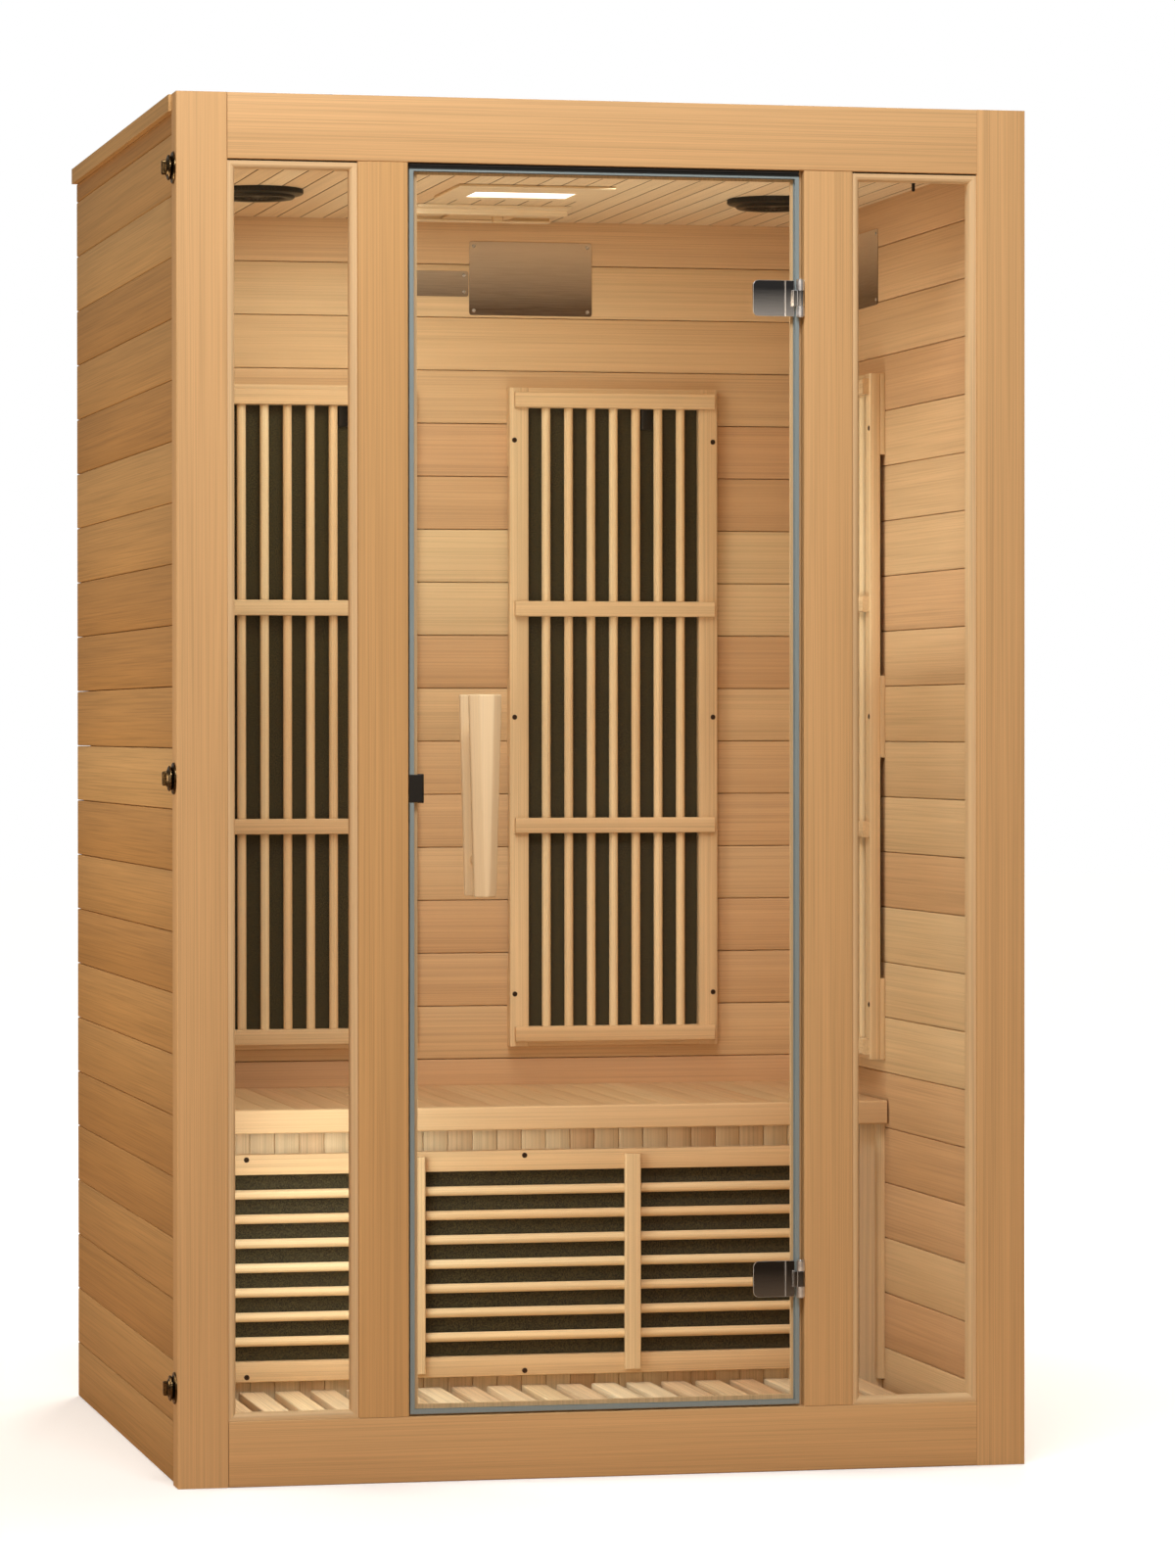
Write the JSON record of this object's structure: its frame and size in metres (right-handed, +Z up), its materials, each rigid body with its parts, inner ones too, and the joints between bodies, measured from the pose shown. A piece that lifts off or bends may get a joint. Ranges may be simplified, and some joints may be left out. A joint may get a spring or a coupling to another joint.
{
  "type": "infrared sauna cabin",
  "caption": "Free-standing infrared sauna cabin of light wood boards: hinged glass door between slim windows, inner bench, dowel-fronted heaters, slatted floor, ceiling lamp, vent and speakers.",
  "frame": {"origin": "on the floor, under the middle of the cabin, on the underside of the floor base", "axes": "+Z up, -Y towards the front with the glass door, +X to the right as seen from the front"},
  "size_m": [1.2208, 1.14, 1.9],
  "materials": {
    "frame_wood": "planed hemlock, clear satin",
    "wall_wood": "planed hemlock tongue-and-groove boards",
    "inner_wood": "planed hemlock boards, unfinished",
    "trim_wood": "sanded hemlock",
    "clear_glass": "clear tempered",
    "edge_seal": "translucent extruded edge channel",
    "hinge_steel": "polished and brushed",
    "dark_bronze": "dark bronze plated",
    "heater_carbon": "dark speckled carbon sheet",
    "black_plastic": "moulded satin",
    "grey_plastic": "moulded matt",
    "lamp_diffuser": "opal diffuser"
  },
  "bodies": {
    "cabin": {"floor_base": "inner_wood", "floor_slats": "trim_wood", "left_wall": "wall_wood", "right_wall": "wall_wood", "back_wall": "wall_wood", "roof_panel": "inner_wood", "roof_cap": "wall_wood", "power_unit": "grey_plastic", "front_stile_left": "frame_wood", "front_stile_right": "frame_wood", "front_bottom_rail": "frame_wood", "front_top_rail": "frame_wood", "front_mullion_left": "frame_wood", "front_mullion_right": "frame_wood", "window_bead_left": "trim_wood", "window_bead_right": "trim_wood", "window_glass_left": "clear_glass", "window_glass_right": "clear_glass", "door_stop": "trim_wood", "magnet_catch": "black_plastic", "hinge_leaf_upper": "hinge_steel", "hinge_leaf_lower": "hinge_steel", "hinge_pin_upper": "hinge_steel", "hinge_pin_lower": "hinge_steel", "bench_seat": "inner_wood", "bench_apron": "inner_wood", "bench_riser": "inner_wood", "bench_ledger": "inner_wood", "heater_back_left_guard": "trim_wood", "heater_back_left_element": "heater_carbon", "heater_back_right_guard": "trim_wood", "heater_back_right_element": "heater_carbon", "heater_left_guard": "trim_wood", "heater_left_element": "heater_carbon", "heater_right_guard": "trim_wood", "heater_right_element": "heater_carbon", "heater_bench_guard": "trim_wood", "heater_bench_element": "heater_carbon", "speaker_left": "black_plastic", "speaker_right": "black_plastic", "light_board": "trim_wood", "light_diffuser": "lamp_diffuser", "vent_frame": "trim_wood", "control_panel": "black_plastic"},
    "door": {"door_glass": "clear_glass", "door_edge_seal": "edge_seal", "door_strike_plate": "black_plastic", "door_handle_outer": "trim_wood", "door_handle_inner": "trim_wood", "hinge_clamp_upper": "hinge_steel", "hinge_clamp_lower": "hinge_steel"},
    "vent_slider": {"vent_slider": "inner_wood"},
    "latch_lower": {"latch_lower": "dark_bronze"},
    "latch_middle": {"latch_middle": "dark_bronze"},
    "latch_upper": {"latch_upper": "dark_bronze"},
    "light_button": {"light_button": "grey_plastic"},
    "power_button": {"power_button": "grey_plastic"}
  },
  "joints": [
    {"name": "door_hinge", "type": "hinge", "parent": "cabin", "child": "door", "pos_m": [0.2735, -0.553, 0.95], "axis": [0, 0, 1], "range_deg": [0, 120]},
    {"name": "vent_slide", "type": "slide", "parent": "cabin", "child": "vent_slider", "axis": [-1, 0, 0], "range_m": [0, 0.06]},
    {"name": "latch_lower_turn", "type": "hinge", "parent": "cabin", "child": "latch_lower", "pos_m": [-0.6, -0.525, 0.135], "axis": [-1, 0, 0], "range_deg": [0, 90]},
    {"name": "latch_middle_turn", "type": "hinge", "parent": "cabin", "child": "latch_middle", "pos_m": [-0.6, -0.525, 0.9665], "axis": [-1, 0, 0], "range_deg": [0, 90]},
    {"name": "latch_upper_turn", "type": "hinge", "parent": "cabin", "child": "latch_upper", "pos_m": [-0.6, -0.525, 1.798], "axis": [-1, 0, 0], "range_deg": [0, 90]},
    {"name": "light_button_press", "type": "slide", "parent": "cabin", "child": "light_button", "axis": [-1, 0, 0], "range_m": [0, 0.0015], "stiffness_N_per_m": 500},
    {"name": "power_button_press", "type": "slide", "parent": "cabin", "child": "power_button", "axis": [-1, 0, 0], "range_m": [0, 0.0015], "stiffness_N_per_m": 500}
  ]
}
